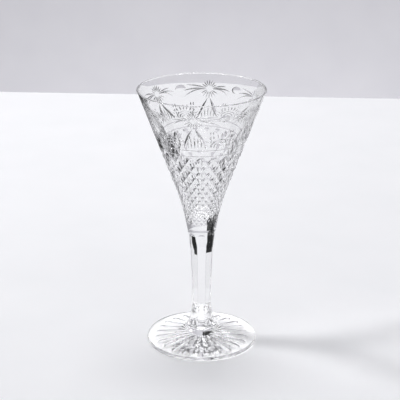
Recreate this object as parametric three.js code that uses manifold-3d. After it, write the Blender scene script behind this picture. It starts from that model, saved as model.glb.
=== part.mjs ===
// A stemmed wine glass of cut crystal: a blown trumpet bowl, a drawn stem and a spun foot.
// The three pieces are fused one above the other, so they meet face to face at two level planes.
// Millimetres, +Z up, the foot rests on z = 0 and the axis of the glass is the Z axis.
import * as THREE from "three";
import { mergeVertices } from "three/addons/utils/BufferGeometryUtils.js";
import Module from "manifold-3d";

const wasm = await Module();
wasm.setup();

// Heights of the three pieces, stacked
const FOOT_HEIGHT = 12;
const STEM_LENGTH = 66;
const BOWL_HEIGHT = 102;

// Bowl: a straight cone above, a slightly hollow bell below it
const RIM_DIAMETER = 85.7;
const BELL_DIAMETER = 35.2; // where the straight cone starts
const BELL_HEIGHT = 34; // of that place above the stem
const BELL_PULL = 0.56; // share of the bell's height at which its side turns
const LIP_WALL = 1.3; // the thin polished lip
const LIP_BAND = 5.5; // height of the thin band
const WALL = 3; // the thick wall that takes the cutting
const WALL_TAPER = 24; // height over which the thick wall thins to the lip
const BOWL_BASE = 14; // solid glass under the hollow
const HOLLOW_FILLET = 6; // height of the rounded bottom of the hollow

// Stem: a round rod, cut flat on all sides. Flats are given across, from flat to flat
const FLATS = 8;
const NECK_DIAMETER = 18.2; // of the round glass where stem and bowl meet
const NECK_FLATS = 17.4; // across the flats there
const KNEE_FLATS = 14.8; // across the flats where the stem starts to swell to the bowl
const KNEE_DROP = 10.4; // of that place under the bowl
const WAIST_FLATS = 11.8; // across the flats at the thinnest place
const WAIST_RISE = 16; // of that place above the foot
const FLAT_RUN_OUT = 3; // how far each flat runs on up the bowl before it leaves the glass
const FLAT_RUN_IN = 7; // height above the foot at which each flat starts
const ANKLE_DIAMETER = 19.4; // of the round glass where stem and foot meet

// Foot
const FOOT_DIAMETER = 75.5;
const FOOT_EDGE = 2.5; // thickness of the rim of the foot
const FOOT_SHOULDER = 4.4; // thickness that the foot's upper side aims at under the stem
const EDGE_ROUND = 0.8; // rounding of the rim's upper and lower edge

// Star cut in the underside of the foot
const STAR_RAYS = 24;
const STAR_INNER_DIAMETER = 15;
const STAR_MARGIN = 5.5; // plain glass between the star and the rim
const RAY_WIDTH = 2.2;
const RAY_DEPTH = 1.1;

const ROUND_SEGMENTS = 72;
const CURVE_STEPS = 8;

const rimRadius = RIM_DIAMETER / 2;
const bellRadius = BELL_DIAMETER / 2;
const footRadius = FOOT_DIAMETER / 2;
const stemTop = FOOT_HEIGHT + STEM_LENGTH;
const rimHeight = stemTop + BOWL_HEIGHT;
// A round rod this many times as thick as its flats are across lets them meet at sharp edges
const rodRatio = 1.03 / Math.cos(Math.PI / FLATS);

function vec(radius, height) {
  return new THREE.Vector2(radius, height);
}

// The points of a curve with one control point, from a to b, both included
function bend(a, control, b) {
  return new THREE.QuadraticBezierCurve(a, control, b).getPoints(CURVE_STEPS);
}

// A closed three.js geometry as a solid that can be joined and cut
function toSolid(geometry) {
  geometry.deleteAttribute("normal");
  geometry.deleteAttribute("uv");
  const merged = mergeVertices(geometry, 1e-4);
  return new wasm.Manifold(
    new wasm.Mesh({
      numProp: 3,
      vertProperties: merged.attributes.position.array,
      triVerts: new Uint32Array(merged.index.array),
    }),
  );
}

// A solid back as a named three.js mesh
function toMesh(name, solid, material) {
  const { vertProperties, triVerts } = solid.getMesh();
  const geometry = new THREE.BufferGeometry();
  geometry.setAttribute("position", new THREE.BufferAttribute(vertProperties, 3));
  geometry.setIndex(new THREE.BufferAttribute(triVerts, 1));
  geometry.computeVertexNormals();
  const mesh = new THREE.Mesh(geometry, material);
  mesh.name = name;
  return mesh;
}

// A profile of (radius, height) points turned about the Z axis
function turned(profile) {
  const geometry = new THREE.LatheGeometry(profile, ROUND_SEGMENTS);
  geometry.rotateX(Math.PI / 2);
  return toSolid(geometry);
}

function unionOf(solids) {
  return solids.reduce((all, next) => all.add(next));
}

// Bowl -------------------------------------------------------------------

// Radius of the outside of the straight cone at a height
function coneRadius(height) {
  const coneStart = stemTop + BELL_HEIGHT;
  const share = (height - coneStart) / (rimHeight - coneStart);
  return bellRadius + share * (rimRadius - bellRadius);
}

function wallAt(height) {
  const bandStart = rimHeight - LIP_BAND;
  const taper = THREE.MathUtils.clamp((bandStart - height) / WALL_TAPER, 0, 1);
  return LIP_WALL + taper * (WALL - LIP_WALL);
}

// The bell's outside, from the stem up to where the cone starts
function bellCurve() {
  const coneStart = stemTop + BELL_HEIGHT;
  const turn = stemTop + BELL_HEIGHT * BELL_PULL;
  return bend(vec(NECK_DIAMETER / 2, stemTop), vec(coneRadius(turn), turn), vec(bellRadius, coneStart));
}

function makeBowl() {
  const floor = stemTop + BOWL_BASE;
  const outside = bellCurve();
  const hollowWall = outside
    .filter((point) => point.y > floor + HOLLOW_FILLET)
    .map((point) => vec(point.x - wallAt(point.y), point.y));
  for (const height of [rimHeight - LIP_BAND - WALL_TAPER, rimHeight - LIP_BAND]) {
    outside.push(vec(coneRadius(height), height));
    hollowWall.push(vec(coneRadius(height) - wallAt(height), height));
  }
  const lowest = hollowWall[0];
  const hollowFloor = bend(vec(0, floor), vec(lowest.x * 0.8, floor), lowest);
  const lipRadius = LIP_WALL / 2;
  const lip = new THREE.Path()
    .absarc(rimRadius - lipRadius, rimHeight - lipRadius, lipRadius, 0, Math.PI)
    .getPoints(CURVE_STEPS / 2);
  const inside = hollowFloor.slice(0, -1).concat(hollowWall).reverse();
  return turned([vec(0, stemTop), ...outside, ...lip, ...inside]);
}

// Stem -------------------------------------------------------------------

function makeStemRod() {
  const waistRadius = (WAIST_FLATS / 2) * rodRatio;
  const kneeRadius = (KNEE_FLATS / 2) * rodRatio;
  const ankle = bend(
    vec(ANKLE_DIAMETER / 2, FOOT_HEIGHT),
    vec(waistRadius, FOOT_HEIGHT + FLAT_RUN_IN),
    vec(waistRadius, FOOT_HEIGHT + WAIST_RISE),
  );
  const top = [vec(kneeRadius, stemTop - KNEE_DROP), vec(NECK_DIAMETER / 2, stemTop), vec(0, stemTop)];
  return turned([vec(0, FOOT_HEIGHT), ...ankle, ...top]);
}

// What the cutter takes off all round: outside the flats, along the whole stem and a little past it
function makeFlatCutter() {
  const reach = NECK_DIAMETER;
  const swell = (NECK_FLATS - KNEE_FLATS) / 2 / KNEE_DROP;
  const outline = new THREE.Shape();
  outline.moveTo(reach, FOOT_HEIGHT);
  outline.quadraticCurveTo(
    WAIST_FLATS / 2,
    FOOT_HEIGHT + FLAT_RUN_IN,
    WAIST_FLATS / 2,
    FOOT_HEIGHT + WAIST_RISE,
  );
  outline.lineTo(KNEE_FLATS / 2, stemTop - KNEE_DROP);
  outline.lineTo(NECK_FLATS / 2, stemTop);
  outline.quadraticCurveTo(
    NECK_FLATS / 2 + swell * FLAT_RUN_OUT,
    stemTop + FLAT_RUN_OUT,
    NECK_DIAMETER / 2 + FLAT_RUN_OUT,
    stemTop + 2 * FLAT_RUN_OUT,
  );
  outline.lineTo(reach, stemTop + 2 * FLAT_RUN_OUT);
  outline.closePath();
  const width = NECK_DIAMETER;
  const slab = new THREE.ExtrudeGeometry(outline, { depth: width, bevelEnabled: false, curveSegments: CURVE_STEPS });
  slab.translate(0, 0, -width / 2);
  slab.rotateX(Math.PI / 2);
  const one = toSolid(slab);
  const turns = Array.from({ length: FLATS }, (_, i) => one.rotate([0, 0, (i * 360) / FLATS]));
  return unionOf(turns);
}

// Foot -------------------------------------------------------------------

function makeFootBlank() {
  const lower = bend(vec(footRadius - EDGE_ROUND, 0), vec(footRadius, 0), vec(footRadius, EDGE_ROUND));
  const upper = bend(
    vec(footRadius, FOOT_EDGE - EDGE_ROUND),
    vec(footRadius, FOOT_EDGE),
    vec(footRadius - EDGE_ROUND, FOOT_EDGE),
  );
  const rise = bend(upper.pop(), vec(ANKLE_DIAMETER * 0.7, FOOT_SHOULDER), vec(ANKLE_DIAMETER / 2, FOOT_HEIGHT));
  return turned([vec(0, 0), ...lower, ...upper, ...rise, vec(0, FOOT_HEIGHT)]);
}

// One ray: a V groove, deepest halfway and running out to a point at both ends
function makeStarCutter() {
  const inner = STAR_INNER_DIAMETER / 2;
  const outer = footRadius - STAR_MARGIN;
  const rays = [];
  for (let i = 0; i < STAR_RAYS; i += 1) {
    const ray = new THREE.OctahedronGeometry(1);
    ray.scale((outer - inner) / 2, RAY_WIDTH / 2, RAY_DEPTH);
    ray.translate((outer + inner) / 2, 0, 0);
    ray.rotateZ(((i + 0.5) * 2 * Math.PI) / STAR_RAYS);
    rays.push(toSolid(ray));
  }
  return unionOf(rays);
}

// Assembly ---------------------------------------------------------------

function crystal() {
  return new THREE.MeshStandardMaterial({
    color: "#eef4f4",
    roughness: 0.03,
    metalness: 0,
    transparent: true,
    opacity: 0.4,
  });
}

const flats = makeFlatCutter();
const glass = new THREE.Group();
glass.add(toMesh("bowl", makeBowl().subtract(flats), crystal()));
glass.add(toMesh("stem", makeStemRod().subtract(flats), crystal()));
glass.add(toMesh("foot", makeFootBlank().subtract(makeStarCutter()), crystal()));

export default glass;
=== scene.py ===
"""A stemmed wine glass of cut lead crystal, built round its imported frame.

The glass is three gathers fused one above the other: bowl, stem and foot. Each is turned as a
plain blank and then cut cold, as a glass cutter does it, by sinking a wheel's edge along lines
set out round the axis. Lengths are in millimetres while a blank is on the wheel, and the
finished piece is scaled to metres in the frame's own place.
"""

from __future__ import annotations

import logging
import math
import sys
from dataclasses import dataclass
from enum import Enum

import bmesh
import bpy
from mathutils import Matrix, Vector


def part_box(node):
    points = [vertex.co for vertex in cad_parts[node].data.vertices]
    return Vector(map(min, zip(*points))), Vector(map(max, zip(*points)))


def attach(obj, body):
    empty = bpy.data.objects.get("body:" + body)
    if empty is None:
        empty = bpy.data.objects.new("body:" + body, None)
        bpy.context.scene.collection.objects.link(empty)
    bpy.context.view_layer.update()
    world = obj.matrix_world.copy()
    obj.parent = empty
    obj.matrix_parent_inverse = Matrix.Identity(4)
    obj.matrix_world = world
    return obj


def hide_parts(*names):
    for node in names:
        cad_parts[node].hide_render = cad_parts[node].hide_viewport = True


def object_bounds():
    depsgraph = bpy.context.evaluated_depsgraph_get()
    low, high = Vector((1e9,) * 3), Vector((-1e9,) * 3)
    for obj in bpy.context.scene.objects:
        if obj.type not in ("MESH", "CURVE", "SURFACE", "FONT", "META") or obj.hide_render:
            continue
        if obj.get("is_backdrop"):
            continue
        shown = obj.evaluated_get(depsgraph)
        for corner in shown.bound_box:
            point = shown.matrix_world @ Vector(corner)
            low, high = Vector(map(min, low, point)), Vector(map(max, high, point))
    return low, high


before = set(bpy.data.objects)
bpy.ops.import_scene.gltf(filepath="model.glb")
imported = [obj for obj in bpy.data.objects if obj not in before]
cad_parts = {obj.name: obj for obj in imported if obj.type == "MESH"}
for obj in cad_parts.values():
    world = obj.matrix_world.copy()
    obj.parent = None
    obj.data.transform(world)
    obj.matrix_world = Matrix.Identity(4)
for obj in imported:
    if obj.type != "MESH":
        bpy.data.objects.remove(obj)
CAD_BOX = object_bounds()

MM = 0.001
ROUND = 2 * math.pi
FRONT = -90.0  # degrees from +X to the front of the glass
SAME_POINT = 1e-4  # distance in mm under which two points become one
CORNER_STEPS, FILLET_STEPS, CURVE_STEPS, SWEEP_STEPS = 8, 16, 24, 32  # of curves of the blanks
RAY_STEPS, LEAF_STEPS, LEG_STEPS, COMB_STEPS, STITCH_STEPS = 8, 12, 14, 6, 5  # of the cuts
THUMB_SEGMENTS, THUMB_RINGS = 40, 24
RANGE = ("From Min", "From Max", "To Min", "To Max")  # the inputs of a Map Range node
SRGB_KNEE, SRGB_SLOPE, SRGB_SHIFT, SRGB_POWER = 0.04045, 12.92, 0.055, 2.4
log = logging.getLogger("wine_glass")

Place = tuple[float, float]  # degrees round the glass from its front, height in mm


# ---- small tools


def linear(hex_colour: str) -> tuple[float, float, float, float]:
    """Turns an sRGB colour into the linear one that shaders take.

    Args:
        hex_colour: The colour as "#rrggbb".

    Returns:
        Linear red, green and blue, and an alpha of 1.
    """
    channels = (int(hex_colour[i : i + 2], 16) / 0xFF for i in (1, 3, 5))
    red, green, blue = (
        c / SRGB_SLOPE if c <= SRGB_KNEE else ((c + SRGB_SHIFT) / (1 + SRGB_SHIFT)) ** SRGB_POWER
        for c in channels
    )
    return (red, green, blue, 1.0)


def add_node(
    tree: bpy.types.NodeTree,
    kind: str,
    links: dict[str, bpy.types.NodeSocket] | None = None,
    values: dict[str, object] | None = None,
    **settings: object,
) -> bpy.types.Node:
    """Adds a node with its settings, its plain values and its links.

    Args:
        tree: The node tree to add to.
        kind: The node's type name.
        links: Output sockets to link in, by input name.
        values: Plain values, by input name.
        **settings: Properties of the node itself.

    Returns:
        The new node.
    """
    node = tree.nodes.new(kind)
    for name, value in settings.items():
        setattr(node, name, value)
    for name, value in (values or {}).items():
        node.inputs[name].default_value = value
    for name, socket in (links or {}).items():
        tree.links.new(socket, node.inputs[name])
    return node


def turned(profile: list[tuple[float, float]], steps: int) -> bmesh.types.BMesh:
    """Turns a profile about the upright axis into one closed body.

    Args:
        profile: Points of (radius, height). It starts and ends on the axis or on one point.
        steps: How many steps the full turn takes.

    Returns:
        The body, with its faces pointing outwards.
    """
    bm = bmesh.new()
    verts = [bm.verts.new((radius, 0, height)) for radius, height in profile]
    edges = [bm.edges.new(pair) for pair in zip(verts, verts[1:])]
    axis = {"cent": (0, 0, 0), "axis": (0, 0, 1), "angle": ROUND, "steps": steps, "use_merge": True}
    bmesh.ops.spin(bm, geom=verts + edges, **axis)
    bmesh.ops.remove_doubles(bm, verts=bm.verts, dist=SAME_POINT)
    bmesh.ops.recalc_face_normals(bm, faces=bm.faces)
    return bm


def bend(a: Place, control: Place, b: Place, steps: int) -> list[tuple[float, float]]:
    """Draws the curve from a to b that leaves and arrives in line with the control point.

    Args:
        a: Where it starts.
        control: The point that both of its ends aim at.
        b: Where it ends.
        steps: How many steps it takes.

    Returns:
        Its points, both ends included.
    """
    points = []
    for i in range(steps + 1):
        t = i / steps
        shares = ((1 - t) ** 2, 2 * t * (1 - t), t**2)
        points.append(tuple(sum(s * p[k] for s, p in zip(shares, (a, control, b))) for k in (0, 1)))
    return points


def to_object(bm: bmesh.types.BMesh, name: str) -> bpy.types.Object:
    """Stores a mesh made in millimetres as an object in metres.

    Args:
        bm: The mesh, which is used up.
        name: The object's name.

    Returns:
        The object, unturned and unscaled at the origin.
    """
    bmesh.ops.scale(bm, vec=(MM, MM, MM), verts=bm.verts)
    mesh = bpy.data.meshes.new(name)
    bm.to_mesh(mesh)
    bm.free()
    piece = bpy.data.objects.new(name, mesh)
    bpy.context.scene.collection.objects.link(piece)
    return piece


# ---- finishes


@dataclass(frozen=True)
class LeadCrystal:
    """Clear glass with about a quarter of lead oxide, which bends light strongly.

    The eye gets nearly colourless glass with bright, sharp refractions at every cut. The
    surface is never optically flat, so a faint slow ripple makes the refractions swim a little.
    Light from the lamps passes it, and is dimmed where it meets the glass at a slant, so the
    glass throws the thin bright shadow that real glass has.

    Attributes:
        name: The material's name.
        colour: Its tint.
        ior: Its refractive index.
        roughness: Where the polish is best and where it is poorest.
        polish: Heights of the ripple between which it goes from one to the other.
        ripple_mm: Length of a ripple.
        ripple_detail: Finer ripples on top of it.
        ripple_rise_mm: Height of a ripple.
        ripple: Share of that height that shows.
        slant_blend: The even setting of the measure of slant.
        slant: Values of that measure between which the lamps' light is dimmed.
        passed: Share of that light that passes where it meets the glass squarely or grazes it.
    """

    name: str
    colour: str = "#fefefe"
    ior: float = 1.57
    roughness: tuple[float, float] = (0.0, 0.02)
    polish: tuple[float, float] = (0.4, 0.75)
    ripple_mm: float = 9.0
    ripple_detail: float = 1.0
    ripple_rise_mm: float = 0.1
    ripple: float = 0.03
    slant_blend: float = 0.5
    slant: tuple[float, float] = (0.28, 0.55)
    passed: tuple[float, float] = (0.96, 0.05)

    def material(self) -> bpy.types.Material:
        """Builds the material.

        Returns:
            Clear glass with a rippled, unevenly polished surface and a soft shadow.
        """
        material = bpy.data.materials.new(self.name)
        material.use_nodes = True
        tree = material.node_tree
        tree.nodes.clear()
        place = add_node(tree, "ShaderNodeTexCoord").outputs["Object"]
        ripple = add_node(
            tree,
            "ShaderNodeTexNoise",
            links={"Vector": place},
            values={"Scale": 1 / (self.ripple_mm * MM), "Detail": self.ripple_detail},
        )
        polish = add_node(
            tree,
            "ShaderNodeMapRange",
            links={"Value": ripple.outputs["Fac"]},
            values=dict(zip(RANGE, self.polish + self.roughness)),
        )
        bump = add_node(
            tree,
            "ShaderNodeBump",
            links={"Height": ripple.outputs["Fac"]},
            values={"Strength": self.ripple, "Distance": self.ripple_rise_mm * MM},
        )
        glass = add_node(
            tree,
            "ShaderNodeBsdfPrincipled",
            links={"Roughness": polish.outputs["Result"], "Normal": bump.outputs["Normal"]},
            values={"Base Color": linear(self.colour), "IOR": self.ior, "Transmission Weight": 1.0},
        )
        slant = add_node(tree, "ShaderNodeLayerWeight", values={"Blend": self.slant_blend})
        dim = add_node(
            tree,
            "ShaderNodeMapRange",
            links={"Value": slant.outputs["Facing"]},
            values=dict(zip(RANGE, self.slant + self.passed)),
        )
        clear = add_node(tree, "ShaderNodeBsdfTransparent", links={"Color": dim.outputs["Result"]})
        lamp_ray = add_node(tree, "ShaderNodeLightPath").outputs["Is Shadow Ray"]
        either = add_node(tree, "ShaderNodeMixShader", links={"Fac": lamp_ray})
        tree.links.new(glass.outputs["BSDF"], either.inputs[1])
        tree.links.new(clear.outputs["BSDF"], either.inputs[2])
        add_node(tree, "ShaderNodeOutputMaterial", links={"Surface": either.outputs["Shader"]})
        return material


@dataclass(frozen=True)
class FusedJoint:
    """The place where two gathers were fused hot: no surface is left there, so nothing shows."""

    name: str = "hot_fused_joint"

    def material(self) -> bpy.types.Material:
        """Builds the material.

        Returns:
            A surface that light goes straight through.
        """
        material = bpy.data.materials.new(self.name)
        material.use_nodes = True
        tree = material.node_tree
        tree.nodes.clear()
        clear = add_node(tree, "ShaderNodeBsdfTransparent")
        add_node(tree, "ShaderNodeOutputMaterial", links={"Surface": clear.outputs["BSDF"]})
        return material


# ---- cutting


class Edge(Enum):
    """The edges of a cutter's wheels, by the half angle of their V in degrees."""

    FINE = 45.0
    MITRE = 58.0
    BROAD = 76.0


@dataclass
class Skin:
    """The outside of a turned blank, which cuts are set out on.

    Attributes:
        outline: Points of (radius, height), from the lowest to the highest.
    """

    outline: list[tuple[float, float]]

    def radius(self, height: float) -> float:
        """Reads the blank's radius off its outline.

        Args:
            height: Where, in mm.

        Returns:
            The radius there, in mm.
        """
        for (r0, h0), (r1, h1) in zip(self.outline, self.outline[1:]):
            if height <= h1:
                return r0 + (r1 - r0) * (height - h0) / (h1 - h0)
        return self.outline[-1][0]

    def lean(self, height: float) -> float:
        """How far the side leans out there: its radius gained per mm of height."""
        step = 0.5
        return (self.radius(height + step) - self.radius(height - step)) / (2 * step)

    def climb(self, height: float) -> float:
        """Height gained per mm along the side."""
        return 1 / math.hypot(1, self.lean(height))

    def point(self, place: Place) -> Vector:
        """The point of the surface at a place."""
        angle, radius = math.radians(place[0] + FRONT), self.radius(place[1])
        return Vector((radius * math.cos(angle), radius * math.sin(angle), place[1]))

    def normal(self, place: Place) -> Vector:
        """The direction that the surface faces at a place."""
        angle = math.radians(place[0] + FRONT)
        return Vector((math.cos(angle), math.sin(angle), -self.lean(place[1]))).normalized()

    def across(self, millimetres: float, height: float) -> float:
        """Degrees round the blank for a distance at a height."""
        return math.degrees(millimetres / self.radius(height))

    def away(self, centre: Place, bearing: float, reach: float) -> Place:
        """Steps from one place to another over the surface.

        Args:
            centre: Where to start.
            bearing: Which way to go, in degrees. 0 is up and 90 is to the right.
            reach: How far to go, in mm.

        Returns:
            The place that is reached.
        """
        angle = math.radians(bearing)
        height = centre[1] + reach * math.cos(angle) * self.climb(centre[1])
        return (centre[0] + self.across(reach * math.sin(angle), height), height)


@dataclass
class Underside:
    """A level face that is cut from below. Its places are degrees round and mm from the axis."""

    height: float

    def point(self, place: Place) -> Vector:
        """The point of the surface at a place."""
        angle = math.radians(place[0] + FRONT)
        return Vector((place[1] * math.cos(angle), place[1] * math.sin(angle), self.height))

    def normal(self, place: Place) -> Vector:
        """The direction that the surface faces, which is down everywhere."""
        return Vector((0, 0, -1))


@dataclass
class Groove:
    """One cut of a wheel with a V edge along a line on the surface.

    Attributes:
        line: The places that the cut passes, in order.
        depth: Its depth in mm where it is deepest.
        edge: The wheel's edge.
        taper: Share of the length over which each end runs out. 0.5 makes a leaf.
        grows: How much deeper it gets per mm of radius, for cuts that spread with the glass.
        least: Share of its depth that its very ends keep.
    """

    line: list[Place]
    depth: float
    edge: Edge = Edge.MITRE
    taper: float = 0.5
    grows: float = 0.0
    least: float = 0.03

    def sections(self, skin: Skin | Underside) -> list[Matrix]:
        """Works out where the wheel's edge lies along the cut.

        Args:
            skin: The surface to cut.

        Returns:
            A frame for each place of the line, which sizes and turns a triangle of radius 1.
        """
        half_corner = math.pi / 6
        points = [skin.point(place) for place in self.line]
        last = len(points) - 1
        frames = []
        for i, place in enumerate(self.line):
            ahead = points[min(i + 1, last)] - points[max(i - 1, 0)]
            normal = skin.normal(place)
            side = normal.cross(ahead).normalized()
            run = min(1.0, min(i, last - i) / last / self.taper)
            swell = max(self.least, math.sin(run * math.pi / 2))
            depth = (self.depth + self.grows * points[i].to_2d().length) * swell
            width = depth * math.tan(math.radians(self.edge.value)) / math.tan(half_corner)
            turn = Matrix((side, normal, side.cross(normal))).transposed().to_4x4()
            size = Matrix.Diagonal((width, depth, 1.0, 1.0))
            frames.append(Matrix.Translation(points[i]) @ turn @ size)
        return frames

    def carve_into(self, bm: bmesh.types.BMesh, skin: Skin | Underside) -> None:
        """Adds the swept edge of the wheel to a cutter.

        Args:
            bm: The cutter's mesh.
            skin: The surface to cut.
        """
        frames = self.sections(skin)
        point_in = Matrix.Rotation(math.pi, 4, "Z")
        made = bmesh.ops.create_circle(
            bm, cap_ends=True, segments=3, radius=1.0, matrix=frames[0] @ point_in
        )
        faces = [made["verts"][0].link_faces[0]]
        for before, after in zip(frames, frames[1:]):
            grown = bmesh.ops.extrude_face_region(bm, geom=[faces[-1]])["geom"]
            faces.append(next(g for g in grown if isinstance(g, bmesh.types.BMFace)))
            bmesh.ops.transform(bm, matrix=after @ before.inverted(), verts=faces[-1].verts)
        bmesh.ops.delete(bm, geom=faces[1:-1], context="FACES_ONLY")


def cutter(name: str, grooves: list[Groove], skin: Skin | Underside, times: int) -> bpy.types.Object:
    """One pass of the wheel, repeated evenly round the axis.

    Args:
        name: The pass's name.
        grooves: Cuts that keep clear of each other and of their repeats.
        skin: The surface to cut.
        times: How often the cuts stand round the glass.

    Returns:
        The cutter, as a closed mesh.
    """
    bm = bmesh.new()
    for groove in grooves:
        groove.carve_into(bm, skin)
    repeat(bm, times)
    return to_object(bm, name)


def repeat(bm: bmesh.types.BMesh, times: int) -> None:
    """Repeats all of a mesh evenly round the upright axis and turns its faces outwards.

    Args:
        bm: The mesh.
        times: How often it stands round the axis in the end.
    """
    everything = bm.verts[:] + bm.edges[:] + bm.faces[:]
    turn = {"cent": (0, 0, 0), "axis": (0, 0, 1), "angle": ROUND * (times - 1) / times}
    bmesh.ops.spin(bm, geom=everything, steps=times - 1, use_duplicate=True, **turn)
    bmesh.ops.recalc_face_normals(bm, faces=bm.faces)


def between(a: Place, b: Place, steps: int, bow: float = 0.0) -> list[Place]:
    """Draws a line over a surface.

    Args:
        a: Where it starts.
        b: Where it ends.
        steps: How many steps it takes.
        bow: How far it bows upwards in its middle, in mm.

    Returns:
        Its places, both ends included.
    """
    line = []
    for i in range(steps + 1):
        t = i / steps
        line.append((a[0] + (b[0] - a[0]) * t, a[1] + (b[1] - a[1]) * t + bow * 4 * t * (1 - t)))
    return line


def cut(piece: bpy.types.Object, cutters: list[bpy.types.Object]) -> None:
    """Cuts a piece with each cutter in turn and keeps the result as its mesh.

    Args:
        piece: The piece to cut.
        cutters: The cutters, which are used up.
    """
    for tool in cutters:
        stroke = piece.modifiers.new(tool.name, "BOOLEAN")
        stroke.operation = "DIFFERENCE"
        stroke.solver = "MANIFOLD"
        stroke.object = tool
    shaped = piece.evaluated_get(bpy.context.evaluated_depsgraph_get())
    mesh = bpy.data.meshes.new_from_object(shaped)
    mesh.name = piece.name
    piece.modifiers.clear()
    piece.data = mesh
    for tool in cutters:
        bpy.data.objects.remove(tool)


# ---- the cut patterns


@dataclass(frozen=True)
class Leaf:
    """A long leaf of the flower.

    Attributes:
        bearing: Which way it points, in degrees from straight up, to the right and to the left.
        reach: Where it ends, in mm from the flower's middle.
        bow: How far it bows upwards, in mm.
    """

    bearing: float
    reach: float
    bow: float


@dataclass
class Frieze:
    """The band of flowers under the lip, with what stands between and below them.

    Sizes are in mm. Bearings are in degrees, with 0 up and 90 to the right.

    Attributes:
        skin: The outside of the bowl.
        ring: Height of the ring that the frieze stands on.
        motifs: How many flowers stand round the bowl.
        first: Degrees from the front to the first flower.
        flower_height: Of the flowers' middles.
        heart: Radius of a flower's plain middle.
        bursts: Bearings of the rays above and below the leaves, each with their reach.
        ray_depth: Of the rays.
        leaves: The long leaves to one side.
        leaf_depth: Of the leaves.
        leaf_extra: How much longer the leaves to the right are.
        leg_drop: From a flower's middle down to its legs.
        leg_turns: Degrees from the flower to a leg's upper and lower end.
        leg_gap: Plain glass between the legs and the ring.
        leg_depth: Of the legs.
        gap: Plain glass between the ring and the combs and arches.
        comb_side: How many cuts a comb has to each side of its middle one.
        comb_pitch: From one cut of a comb to the next.
        comb_height: Of its middle cut.
        comb_fall: How much shorter each further cut is.
        fine_depth: Of the combs and stitches.
        arch_radii: Of the nested arches.
        arch_bearings: Where each arch runs.
        arch_depth: Of the arches.
        arch_taper: Share of an arch over which each end runs out.
        fan_bearings: Of the short cuts round the arches.
        fan_reach: Where those cuts start and end, from the arches' middle.
        fan_depth: Of those cuts.
        stitch_columns: From the flower to each ladder of stitches.
        stitch_low: Height of the lowest stitch.
        stitch_rungs: How many stitches a ladder has.
        stitch_pitch: From one stitch to the next.
        stitch_length: Of a stitch.
        thumb_size: Width and height of a thumbprint.
        thumb_depth: Of a thumbprint.
        thumb_belly: Radius of the wheel's rounded edge.
        thumb_rise: How far a thumbprint's middle lies above the flowers' middles.
    """

    skin: Skin
    ring: float
    motifs: int = 6
    first: float = -8.0
    flower_height: float = 169.4
    heart: float = 1.8
    bursts: tuple[tuple[range, float], ...] = ((range(-60, 61, 20), 6.2), (range(120, 241, 20), 7.0))
    ray_depth: float = 0.36
    leaves: tuple[Leaf, ...] = (Leaf(80, 12.5, 0.4), Leaf(94, 15.5, 0.8), Leaf(107, 14, 1.6))
    leaf_depth: float = 0.42
    leaf_extra: float = 4.5
    leg_drop: float = 6.0
    leg_turns: tuple[float, float] = (1.2, 13.5)
    leg_gap: float = 1.4
    leg_depth: float = 0.8
    gap: float = 1.8
    comb_side: int = 2
    comb_pitch: float = 2.1
    comb_height: float = 10.0
    comb_fall: float = 1.8
    fine_depth: float = 0.3
    arch_radii: tuple[float, ...] = (2.4, 4.6, 6.8)
    arch_bearings: range = range(-84, 85, 12)
    arch_depth: float = 0.32
    arch_taper: float = 0.2
    fan_bearings: range = range(-75, 76, 15)
    fan_reach: tuple[float, float] = (8.2, 12.2)
    fan_depth: float = 0.4
    stitch_columns: tuple[float, ...] = (10.6, 12.4)
    stitch_low: float = 149.0
    stitch_rungs: int = 4
    stitch_pitch: float = 3.2
    stitch_length: float = 2.4
    thumb_size: tuple[float, float] = (8.6, 5.2)
    thumb_depth: float = 0.75
    thumb_belly: float = 5.0
    thumb_rise: float = 0.6

    def __post_init__(self) -> None:
        """Finds the place halfway between two flowers."""
        self.halfway = self.first + 360 / self.motifs / 2

    def ray(self, centre: Place, bearing: float, start: float, end: float, depth: float) -> Groove:
        """A straight cut that points away from a centre."""
        near, far = (self.skin.away(centre, bearing, reach) for reach in (start, end))
        return Groove(between(near, far, RAY_STEPS), depth, Edge.FINE)

    def flower(self) -> list[list[Groove]]:
        """The flower: a burst of short rays, with long leaves to both sides.

        Returns:
            Passes of cuts. The cuts of a pass keep clear of each other.
        """
        centre = (self.first, self.flower_height)
        passes: list[list[Groove]] = [[] for _ in self.leaves]
        rays = [(bearing, reach) for bearings, reach in self.bursts for bearing in bearings]
        for i, (bearing, reach) in enumerate(rays):
            ray = self.ray(centre, bearing, self.heart, reach, self.ray_depth)
            passes[i % len(passes)].append(ray)
        for side in (-1, 1):
            extra = self.leaf_extra if side > 0 else 0.0
            for cuts, leaf in zip(passes, self.leaves):
                near = self.skin.away(centre, side * leaf.bearing, self.heart)
                far = self.skin.away(centre, side * leaf.bearing, leaf.reach + extra)
                line = between(near, far, LEAF_STEPS, leaf.bow)
                cuts.append(Groove(line, self.leaf_depth, Edge.FINE))
        return passes

    def legs(self) -> list[list[Groove]]:
        """Two long legs under each flower, with a comb of upright cuts between them.

        Returns:
            Passes of cuts. The cuts of a pass keep clear of each other.
        """
        top = self.flower_height - self.leg_drop
        inwards, outwards = self.leg_turns
        passes: list[list[Groove]] = [[], []]
        for cuts, side in zip(passes, (-1, 1)):
            hip = (self.first + side * inwards, top)
            toe = (self.first + side * outwards, self.ring + self.leg_gap)
            cuts.append(Groove(between(hip, toe, LEG_STEPS), self.leg_depth))
        low = self.ring + self.gap
        for i in range(-self.comb_side, self.comb_side + 1):
            high = low + self.comb_height - self.comb_fall * abs(i)
            across = self.first + self.skin.across(self.comb_pitch * i, low)
            line = between((across, low), (across, high), COMB_STEPS)
            passes[0].append(Groove(line, self.fine_depth))
        return passes

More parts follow.
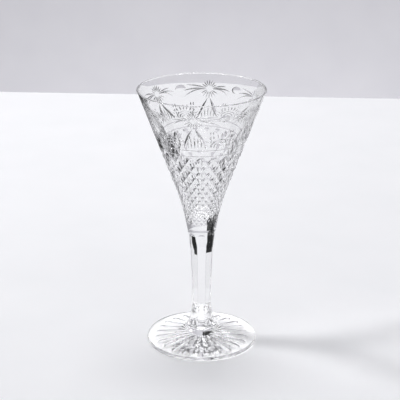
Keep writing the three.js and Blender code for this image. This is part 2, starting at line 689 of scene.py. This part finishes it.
    def arches(self) -> list[Groove]:
        """Nested round arches between the legs, with a fan of short cuts round them.

        Returns:
            Cuts that keep clear of each other.
        """
        foot = (self.halfway, self.ring + self.gap)
        grooves = []
        for radius in self.arch_radii:
            line = [self.skin.away(foot, bearing, radius) for bearing in self.arch_bearings]
            grooves.append(Groove(line, self.arch_depth, taper=self.arch_taper))
        for bearing in self.fan_bearings:
            grooves.append(self.ray(foot, bearing, *self.fan_reach, self.fan_depth))
        return grooves

    def stitches(self) -> list[Groove]:
        """Ladders of short upright stitches beside each arch.

        Returns:
            Cuts that keep clear of each other.
        """
        grooves = []
        for side in (-1, 1):
            for column in self.stitch_columns:
                for rung in range(self.stitch_rungs):
                    low = self.stitch_low + self.stitch_pitch * rung
                    across = self.first + side * self.skin.across(column, low)
                    high = low + self.stitch_length
                    line = between((across, low), (across, high), STITCH_STEPS)
                    grooves.append(Groove(line, self.fine_depth))
        return grooves

    def thumbprints(self) -> bpy.types.Object:
        """The oval cuts of a round-edged wheel, halfway between the flowers.

        Returns:
            Their cutter.
        """
        width, height = self.thumb_size
        belly = self.thumb_belly
        shrink = math.sqrt(1 - (1 - self.thumb_depth / belly) ** 2)
        size = Matrix.Diagonal((width / 2 / shrink, belly, height / 2 / shrink, 1))
        place = (0.0, self.flower_height + self.thumb_rise)
        centre = self.skin.point(place) + self.skin.normal(place) * (belly - self.thumb_depth)
        lean = Matrix.Rotation(math.atan(self.skin.lean(place[1])), 4, "X")
        turn = Matrix.Rotation(math.radians(self.halfway), 4, "Z")
        bm = bmesh.new()
        where = turn @ Matrix.Translation(centre) @ lean @ size
        across, up = THUMB_SEGMENTS, THUMB_RINGS
        bmesh.ops.create_uvsphere(bm, u_segments=across, v_segments=up, radius=1.0, matrix=where)
        repeat(bm, self.motifs)
        return to_object(bm, "thumbprints")

    def cutters(self) -> list[bpy.types.Object]:
        """All the cutters of the frieze.

        Returns:
            The thumbprints and then every pass of grooves.
        """
        tools = [self.thumbprints()]
        for grooves in [*self.flower(), *self.legs(), self.arches(), self.stitches()]:
            tools.append(cutter("motifs", grooves, self.skin, self.motifs))
        return tools


@dataclass
class DiamondField:
    """The field of diamonds that is left between cuts that slant both ways round the bowl.

    Attributes:
        skin: The outside of the bowl.
        round: How many cuts slant each way.
        slant: Degrees that they slant from the upright.
        low: Height in mm of the lowest diamonds.
        high: Height of the highest diamonds.
        rows: Steps of a cut.
        taper: Share of a cut over which each end runs out.
        depth_share: Depth of the cuts, as a share of the depth that would leave sharp points.
    """

    skin: Skin
    round: int = 21
    slant: float = 36.7
    low: float = 87.5
    high: float = 141.4
    rows: int = 48
    taper: float = 0.04
    depth_share: float = 0.92

    def cutter(self, side: int) -> bpy.types.Object:
        """Makes the cutter of all the cuts that slant one way.

        Args:
            side: -1 for the cuts that slant to the left, 1 for those that slant to the right.

        Returns:
            The cutter. The two sets cross, so each needs its own.
        """
        slant = math.radians(self.slant)
        step = (self.high - self.low) / self.rows
        line = [(0.0, self.low)]
        for _ in range(self.rows):
            angle, height = line[-1]
            sideways = step / self.skin.climb(height) * math.tan(slant)
            line.append((angle + side * self.skin.across(sideways, height), height + step))
        half_pitch = ROUND / self.round * math.cos(slant) / 2
        growth = self.depth_share * half_pitch / math.tan(math.radians(Edge.BROAD.value))
        groove = Groove(line, 0.0, Edge.BROAD, taper=self.taper, grows=growth)
        return cutter("diamonds", [groove], self.skin, self.round)


# ---- the three gathers


@dataclass
class Flats:
    """The flats that are ground along the stem and run out on to the bowl and the foot.

    Attributes:
        count: How many flats there are. One faces the front.
        neck: Across the flats where stem and bowl meet, in mm.
        knee: Across the flats where the stem starts to swell.
        knee_drop: How far under the bowl that is.
        waist: Across the flats where the stem is thinnest.
        waist_rise: How far above the foot that is.
        run_out: How far a flat runs on before it leaves the bowl.
        run_in: How far above the foot a flat starts.
        neck_radius: Of the round glass where stem and bowl meet.
        spare: How much thicker the rod is than the flats need to meet at sharp edges.
    """

    count: int = 8
    neck: float = 17.4
    knee: float = 14.8
    knee_drop: float = 10.4
    waist: float = 11.8
    waist_rise: float = 16.0
    run_out: float = 3.0
    run_in: float = 7.0
    neck_radius: float = 9.1
    spare: float = 1.03

    def rod_radius(self, across: float) -> float:
        """Radius of a rod that such flats leave with sharp edges."""
        return across / 2 * self.spare / math.cos(math.pi / self.count)

    def cutter(self) -> bpy.types.Object:
        """Makes the stone that grinds all the flats.

        Returns:
            A ring with as many sides inside as the stem has flats.
        """
        low, high = (corner.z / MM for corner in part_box("stem"))
        reach = 2 * self.neck_radius
        waist, knee, neck = self.waist / 2, self.knee / 2, self.neck / 2
        out = neck + (neck - knee) / self.knee_drop * self.run_out
        waist_turn = (waist, low + self.run_in)
        rise = bend((reach, low), waist_turn, (waist, low + self.waist_rise), CURVE_STEPS)
        leave = bend(
            (neck, high),
            (out, high + self.run_out),
            (self.neck_radius + self.run_out, high + 2 * self.run_out),
            FILLET_STEPS,
        )
        top = (reach, high + 2 * self.run_out)
        outline = rise + [(knee, high - self.knee_drop)] + leave + [top, rise[0]]
        half_turn = math.pi / self.count
        corners = [(radius / math.cos(half_turn), height) for radius, height in outline]
        bm = turned(corners, self.count)
        bmesh.ops.rotate(bm, matrix=Matrix.Rotation(half_turn, 3, "Z"), verts=bm.verts)
        return to_object(bm, "flats")


@dataclass
class Gather:
    """What the pieces of the glass share: a turned blank, its cuts and a clear finish.

    Attributes:
        node: The CAD node that the piece stands for.
        crystal: Its finish.
        flats: The flats of the stem.
        steps: Steps of the full turn.
        sharp_from: Angle in degrees from which an edge between two faces stays sharp.
        joint_reach: How near to a joint's height the faces of the joint lie, in mm.
        joint_level: How upright their normals are at the least.
    """

    node: str
    crystal: LeadCrystal
    flats: Flats
    steps: int = 180
    sharp_from: float = 14.0
    joint_reach: float = 0.02
    joint_level: float = 0.999

    def __post_init__(self) -> None:
        """Takes the piece's base, top and radius from the frame."""
        low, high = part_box(self.node)
        self.base = low.z / MM
        self.top = high.z / MM
        self.radius = high.x / MM

    def blank(self) -> bmesh.types.BMesh:
        """The turned blank, in mm."""
        raise NotImplementedError

    def cutters(self) -> list[bpy.types.Object]:
        """The cutters, each a set of cuts that keep clear of each other."""
        raise NotImplementedError

    def joints(self) -> list[float]:
        """Heights in mm of the level faces where the piece is fused to a neighbour."""
        raise NotImplementedError

    def build(self) -> bpy.types.Object:
        """Turns, cuts and dresses the piece.

        Returns:
            The finished object, which stands for its CAD node.
        """
        piece = to_object(self.blank(), f"crystal_{self.node}")
        cut(piece, self.cutters())
        self.dress(piece)
        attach(piece, "root")
        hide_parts(self.node)
        log.info("%s: %d faces", piece.name, len(piece.data.polygons))
        return piece

    def dress(self, piece: bpy.types.Object) -> None:
        """Gives the piece its two finishes and its smooth and sharp edges.

        Args:
            piece: The piece, cut to its shape.
        """
        mesh = piece.data
        mesh.materials.clear()
        mesh.materials.append(self.crystal.material())
        mesh.materials.append(FusedJoint(f"hot_fused_joint_{self.node}").material())
        near = self.joint_reach * MM
        for face in mesh.polygons:
            face.use_smooth = True
            fused = any(abs(face.center.z - joint * MM) < near for joint in self.joints())
            face.material_index = int(fused and abs(face.normal.z) > self.joint_level)
        mesh.set_sharp_from_angle(angle=math.radians(self.sharp_from))


@dataclass
class CutBowl(Gather):
    """The blown trumpet bowl, with its bands of cutting.

    From the lip down: a plain band, a frieze of flowers with oval thumbprints between them,
    legs, combs and arches, a plain belt between two rings, and a field of diamonds.

    Attributes:
        bell_radius: Of the place where the straight cone starts, in mm.
        bell_height: Of that place above the stem.
        bell_pull: Share of the bell's height at which its side turns.
        wall: Thickness of the wall that takes the cutting.
        lip_wall: Thickness of the lip.
        lip_band: Height of the thin band under the lip.
        wall_taper: Height over which the wall thins to the lip.
        solid_base: Solid glass under the hollow.
        floor_round: Height of the rounded bottom of the hollow.
        floor_share: Share of the hollow's width over which its bottom is nearly level.
        lip_step: Degrees from one point of the lip's rounding to the next.
        ring_heights: Of the two fine rings.
        ring_depth: Of the rings.
        ring_flare: How far a ring's cutter opens to each side, just outside the glass.
    """

    bell_radius: float = 17.6
    bell_height: float = 34.0
    bell_pull: float = 0.56
    wall: float = 3.0
    lip_wall: float = 1.3
    lip_band: float = 5.5
    wall_taper: float = 24.0
    solid_base: float = 14.0
    floor_round: float = 6.0
    floor_share: float = 0.8
    lip_step: int = 12
    ring_heights: tuple[float, float] = (142.3, 146.7)
    ring_depth: float = 0.25
    ring_flare: float = 0.5

    def __post_init__(self) -> None:
        """Sets out the skin that the cuts are placed on."""
        super().__post_init__()
        self.skin = Skin(self.outline())

    def joints(self) -> list[float]:
        """The bowl is fused to the stem below it."""
        return [self.base]

    def cone_radius(self, height: float) -> float:
        """Works out the radius of the straight cone.

        Args:
            height: Where, in mm.

        Returns:
            The radius there, in mm.
        """
        start = self.base + self.bell_height
        share = (height - start) / (self.top - start)
        return self.bell_radius + share * (self.radius - self.bell_radius)

    def wall_at(self, height: float) -> float:
        """Thickness of the wall: thick where it is cut, thin at the lip."""
        taper = (self.top - self.lip_band - height) / self.wall_taper
        return self.lip_wall + min(1.0, max(0.0, taper)) * (self.wall - self.lip_wall)

    def outline(self) -> list[tuple[float, float]]:
        """Draws the outside.

        Returns:
            Points of (radius, height), from the stem to just under the lip.
        """
        start = self.base + self.bell_height
        turn = self.base + self.bell_height * self.bell_pull
        neck = (self.flats.neck_radius, self.base)
        bell = bend(neck, (self.cone_radius(turn), turn), (self.bell_radius, start), CURVE_STEPS)
        last = self.top - self.lip_wall / 2
        heights = [start + (last - start) * i / CURVE_STEPS for i in range(1, CURVE_STEPS + 1)]
        return bell + [(self.cone_radius(height), height) for height in heights]

    def blank(self) -> bmesh.types.BMesh:
        """Turns the blown and polished blank.

        Returns:
            The blank, in mm.
        """
        outside = self.outline()
        floor = self.base + self.solid_base
        above = [height for _, height in outside if height > floor + self.floor_round]
        wall = [(self.skin.radius(height) - self.wall_at(height), height) for height in above]
        well = bend((0, floor), (wall[0][0] * self.floor_share, floor), wall[0], FILLET_STEPS)[:-1]
        lip_radius = self.lip_wall / 2
        middle, last = self.radius - lip_radius, self.top - lip_radius
        lip = []
        for degrees in range(self.lip_step, 180, self.lip_step):
            angle = math.radians(degrees)
            lip.append((middle + lip_radius * math.cos(angle), last + lip_radius * math.sin(angle)))
        inside = (well + wall)[::-1]
        return turned([(0, self.base)] + outside + lip + inside, self.steps)

    def ring(self, height: float) -> bpy.types.Object:
        """Makes the cutter of a fine ring right round the bowl.

        Args:
            height: Where, in mm.

        Returns:
            The cutter.
        """
        corner = (self.skin.radius(height) - self.ring_depth, height)
        outer = self.skin.radius(height) + self.ring_depth
        low, high = height - self.ring_flare, height + self.ring_flare
        return to_object(turned([corner, (outer, low), (outer, high), corner], self.steps), "ring")

    def cutters(self) -> list[bpy.types.Object]:
        """All the cutters of the bowl.

        Returns:
            The flats, the frieze, the diamonds and the rings, pass by pass.
        """
        frieze = Frieze(self.skin, self.ring_heights[-1])
        diamonds = DiamondField(self.skin)
        tools = [self.flats.cutter(), *frieze.cutters()]
        tools += [diamonds.cutter(side) for side in (-1, 1)]
        tools += [self.ring(height) for height in self.ring_heights]
        return tools


@dataclass
class FlatStem(Gather):
    """The drawn stem: a round rod, ground flat on all sides, that swells to the bowl."""

    def joints(self) -> list[float]:
        """The stem is fused to the foot below it and the bowl above it."""
        return [self.base, self.top]

    def blank(self) -> bmesh.types.BMesh:
        """Turns the rod before it is ground.

        Returns:
            The rod, in mm.
        """
        waist = self.flats.rod_radius(self.flats.waist)
        knee = (self.flats.rod_radius(self.flats.knee), self.top - self.flats.knee_drop)
        turn = (waist, self.base + self.flats.run_in)
        end = (waist, self.base + self.flats.waist_rise)
        ankle = bend((self.radius, self.base), turn, end, CURVE_STEPS)
        neck = (self.flats.neck_radius, self.top)
        profile = [(0, self.base)] + ankle + [knee, neck, (0, self.top)]
        return turned(profile, self.steps)

    def cutters(self) -> list[bpy.types.Object]:
        """The flats alone."""
        return [self.flats.cutter()]


@dataclass
class StarFoot(Gather):
    """The spun foot, with a star of deep rays cut in its underside.

    Attributes:
        edge: Thickness of the rim, in mm.
        edge_round: Rounding of its corners.
        shoulder: Thickness that the upper side aims at under the stem.
        shoulder_share: How far out that is, as a share of the stem's radius.
        rays: How many rays the star has.
        star_inner: Radius at which the rays start.
        star_margin: Plain glass between the star and the rim.
        ray_growth: How much deeper a ray gets per mm from the axis.
        ray_taper: Share of a ray over which each end runs out.
    """

    edge: float = 2.5
    edge_round: float = 0.8
    shoulder: float = 4.4
    shoulder_share: float = 1.4
    rays: int = 24
    star_inner: float = 4.0
    star_margin: float = 5.0
    ray_growth: float = 0.052
    ray_taper: float = 0.12

    def joints(self) -> list[float]:
        """The foot is fused to the stem above it."""
        return [self.top]

    def blank(self) -> bmesh.types.BMesh:
        """Turns the spun foot, polished underneath.

        Returns:
            The foot without its star, in mm.
        """
        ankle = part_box("stem")[1].x / MM
        rim, step = self.radius, self.edge_round
        lower = bend((rim - step, self.base), (rim, self.base), (rim, self.base + step), CORNER_STEPS)
        upper = bend((rim, self.edge - step), (rim, self.edge), (rim - step, self.edge), CORNER_STEPS)
        shoulder = (ankle * self.shoulder_share, self.shoulder)
        rise = bend(upper.pop(), shoulder, (ankle, self.top), SWEEP_STEPS)
        return turned([(0, self.base)] + lower + upper + rise + [(0, self.top)], self.steps)

    def cutters(self) -> list[bpy.types.Object]:
        """The star, in two passes because its rays meet near the hub.

        Returns:
            A cutter of every other ray, and one of the rays between those.
        """
        under = Underside(self.base)
        outer = self.radius - self.star_margin
        pitch = 360 / self.rays
        tools = []
        for at in (pitch / 2, pitch / 2 + pitch):
            line = between((at, self.star_inner), (at, outer), CURVE_STEPS)
            ray = Groove(line, 0.0, Edge.MITRE, taper=self.ray_taper, grows=self.ray_growth)
            tools.append(cutter("star", [ray], under, self.rays // 2))
        return tools


# ---- the studio


@dataclass(frozen=True)
class MattPaper:
    """Matt studio paper: soft and even, with a very faint mottle from its fibres.

    Attributes:
        name: The material's name.
        colour: Its lighter colour.
        shade: Its darker colour.
        mottle_mm: Size of the mottle.
        mottle_detail: Finer mottle in it.
        rough: Its roughness.
        gloss: Its specular level.
    """

    name: str
    colour: str
    shade: str
    mottle_mm: float = 60.0
    mottle_detail: float = 2.0
    rough: float = 0.9
    gloss: float = 0.2

    def material(self) -> bpy.types.Material:
        """Builds the material.

        Returns:
            A rough surface whose colour drifts a little.
        """
        material = bpy.data.materials.new(self.name)
        material.use_nodes = True
        tree = material.node_tree
        tree.nodes.clear()
        place = add_node(tree, "ShaderNodeTexCoord").outputs["Object"]
        mottle = add_node(
            tree,
            "ShaderNodeTexNoise",
            links={"Vector": place},
            values={"Scale": 1 / (self.mottle_mm * MM), "Detail": self.mottle_detail},
        )
        blend = add_node(
            tree,
            "ShaderNodeMix",
            links={"Factor": mottle.outputs["Fac"]},
            data_type="RGBA",
        )
        blend.inputs["A"].default_value = linear(self.colour)
        blend.inputs["B"].default_value = linear(self.shade)
        paper = add_node(
            tree,
            "ShaderNodeBsdfPrincipled",
            links={"Base Color": blend.outputs["Result"]},
            values={"Roughness": self.rough, "Specular IOR Level": self.gloss},
        )
        add_node(tree, "ShaderNodeOutputMaterial", links={"Surface": paper.outputs["BSDF"]})
        return material


@dataclass(frozen=True)
class SoftBox:
    """A square studio light.

    Attributes:
        name: The light's name.
        place: Where it hangs, in m.
        aim: What it points at, in m.
        size: Its side, in m.
        watts: Its power.
    """

    name: str
    place: tuple[float, float, float]
    aim: tuple[float, float, float]
    size: float
    watts: float

    def build(self) -> None:
        """Hangs the light up."""
        light = bpy.data.lights.new(self.name, "AREA")
        light.shape = "SQUARE"
        light.size = self.size
        light.energy = self.watts
        box = bpy.data.objects.new(self.name, light)
        box.location = self.place
        box.rotation_euler = (Vector(self.place) - Vector(self.aim)).to_track_quat("Z", "Y").to_euler()
        box.visible_transmission = False  # its light passes the glass by way of the soft shadow
        bpy.context.scene.collection.objects.link(box)


@dataclass(frozen=True)
class Card:
    """A rectangle of paper, or a painted wall, that isn't part of the glass.

    Attributes:
        name: The card's name.
        paper: Its finish.
        width: Along its own X, in m.
        depth: Along its own Y, in m.
        centre: Where its middle is, in m.
        turn: Degrees that it is turned about the upright.
        upright: Whether it stands up instead of lying flat.
    """

    name: str
    paper: MattPaper
    width: float
    depth: float
    centre: tuple[float, float, float]
    turn: float = 0.0
    upright: bool = False

    def build(self) -> bpy.types.Object:
        """Cuts the card to size and puts it in its place.

        Returns:
            The card.
        """
        bm = bmesh.new()
        bmesh.ops.create_grid(bm, x_segments=1, y_segments=1, size=0.5)
        bmesh.ops.scale(bm, vec=(self.width, self.depth, 1), verts=bm.verts)
        if self.upright:
            bmesh.ops.rotate(bm, matrix=Matrix.Rotation(math.pi / 2, 3, "X"), verts=bm.verts)
        bmesh.ops.rotate(bm, matrix=Matrix.Rotation(math.radians(self.turn), 3, "Z"), verts=bm.verts)
        bmesh.ops.translate(bm, vec=self.centre, verts=bm.verts)
        mesh = bpy.data.meshes.new(self.name)
        bm.to_mesh(mesh)
        bm.free()
        mesh.materials.append(self.paper.material())
        card = bpy.data.objects.new(self.name, mesh)
        bpy.context.scene.collection.objects.link(card)
        card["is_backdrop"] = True
        return card


@dataclass(frozen=True)
class Flag(Card):
    """A black card beside the set, which only the glass sees. It draws the dark lines in crystal."""

    def build(self) -> bpy.types.Object:
        """Cuts the card and hides it from everything but reflection and refraction.

        Returns:
            The card.
        """
        card = super().build()
        card.visible_camera = False
        card.visible_diffuse = False
        card.visible_shadow = False
        return card


WHITE_CARD = MattPaper("white_matt_card", "#f4f4f6", "#eeeff1")
GREY_PAINT = MattPaper("grey_matt_paint", "#cdccd1", "#c6c5cb")
BLACK_VELVET = MattPaper("black_velvet", "#050505", "#030303")
ROOM_COLOUR = "#7c7c7f"  # the light of the rest of the room
BOUNCES = 32  # light passes many surfaces of cut glass before it reaches the eye
CLEAR_BOUNCES = 48
GLASS_MIDDLE = (0, 0, 0.09)
CAMERA_PLACE = (-0.0011, -0.8204, 0.4036)
CAMERA_TILT = 69.83  # degrees up from straight down
CAMERA_LENS_MM = 116.46
CAMERA_NEAREST = 0.01  # where its view starts, in m

# Each card's name, paper, width and depth, centre and turn
CARDS = (
    Card("table", WHITE_CARD, 8.0, 6.0, centre=(0, -2.375, -0.0002), turn=-3.7),
    Card("wall", GREY_PAINT, 8.0, 6.0, centre=(0, 1.3, 0), upright=True),
    Flag("flag_left", BLACK_VELVET, 0.5, 0.8, centre=(-0.399, 0.525, 0.002), turn=15),
    Flag("flag_back", BLACK_VELVET, 0.7, 0.6, centre=(-0.62, 0.95, 0.3), turn=50, upright=True),
    Flag("flag_high", BLACK_VELVET, 0.5, 0.77, centre=(-0.276, 0.961, 0.705), turn=16, upright=True),
    Flag("flag_beside", BLACK_VELVET, 0.1, 0.05, centre=(-0.13, 0.01, 0.002)),
    Flag("flag_beside", BLACK_VELVET, 0.1, 0.05, centre=(0.13, 0.01, 0.002)),
    Flag("flag_right", BLACK_VELVET, 0.034, 0.3, centre=(0.2007, 0.2997, 0.002), turn=-30.5),
)

LIGHTS = (
    SoftBox("key", place=(-1.9, 0.3, 2.3), aim=GLASS_MIDDLE, size=0.45, watts=39),
    SoftBox("fill", place=(1.2, -1.6, 2.2), aim=GLASS_MIDDLE, size=1.1, watts=6),
    SoftBox("top", place=(0, 0.45, 1.6), aim=(0, 1.1, 0.1), size=0.8, watts=11),
    SoftBox("wall_washer", place=(0.12, 0.7, -0.8), aim=(0.12, 1.3, 0.0), size=1.4, watts=15),
)


def build_studio() -> None:
    """A pale table before a grey wall, with black flags and four soft boxes, in a dim room."""
    for item in (*CARDS, *LIGHTS):
        item.build()
    room = bpy.data.worlds.new("room")
    room.use_nodes = True
    room.node_tree.nodes["Background"].inputs["Color"].default_value = linear(ROOM_COLOUR)
    room.cycles.sampling_method = "NONE"
    scene = bpy.context.scene
    scene.world = room
    scene.view_settings.view_transform = "Standard"
    scene.cycles.caustics_reflective = False
    scene.cycles.caustics_refractive = True
    scene.cycles.max_bounces = BOUNCES
    scene.cycles.glossy_bounces = BOUNCES
    scene.cycles.transmission_bounces = BOUNCES
    scene.cycles.transparent_max_bounces = CLEAR_BOUNCES


def add_camera() -> None:
    """Sets the camera up a little above the glass, looking down at it."""
    data = bpy.data.cameras.new("camera")
    data.lens = CAMERA_LENS_MM
    data.clip_start = CAMERA_NEAREST
    camera = bpy.data.objects.new("camera", data)
    camera.location = CAMERA_PLACE
    camera.rotation_euler = (math.radians(CAMERA_TILT), 0, 0)
    bpy.context.scene.collection.objects.link(camera)
    bpy.context.scene.camera = camera


def write_sizes() -> None:
    """Works out the CAD box and the finished box of the glass, in metres."""
    boxes = {"cad": CAD_BOX, "visual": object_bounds()}
    sizes = {name: [list(corner) for corner in box] for name, box in boxes.items()}


def main() -> None:
    """Builds the foot, the stem and the bowl, then the studio round them."""
    logging.basicConfig(level=logging.INFO, format="%(name)s %(message)s", stream=sys.stdout)
    flats = Flats()
    StarFoot("foot", LeadCrystal("spun_lead_crystal"), flats).build()
    FlatStem("stem", LeadCrystal("ground_lead_crystal"), flats).build()
    CutBowl("bowl", LeadCrystal("blown_cut_lead_crystal"), flats).build()
    build_studio()
    add_camera()
    write_sizes()


if __name__ == "__main__":
    main()
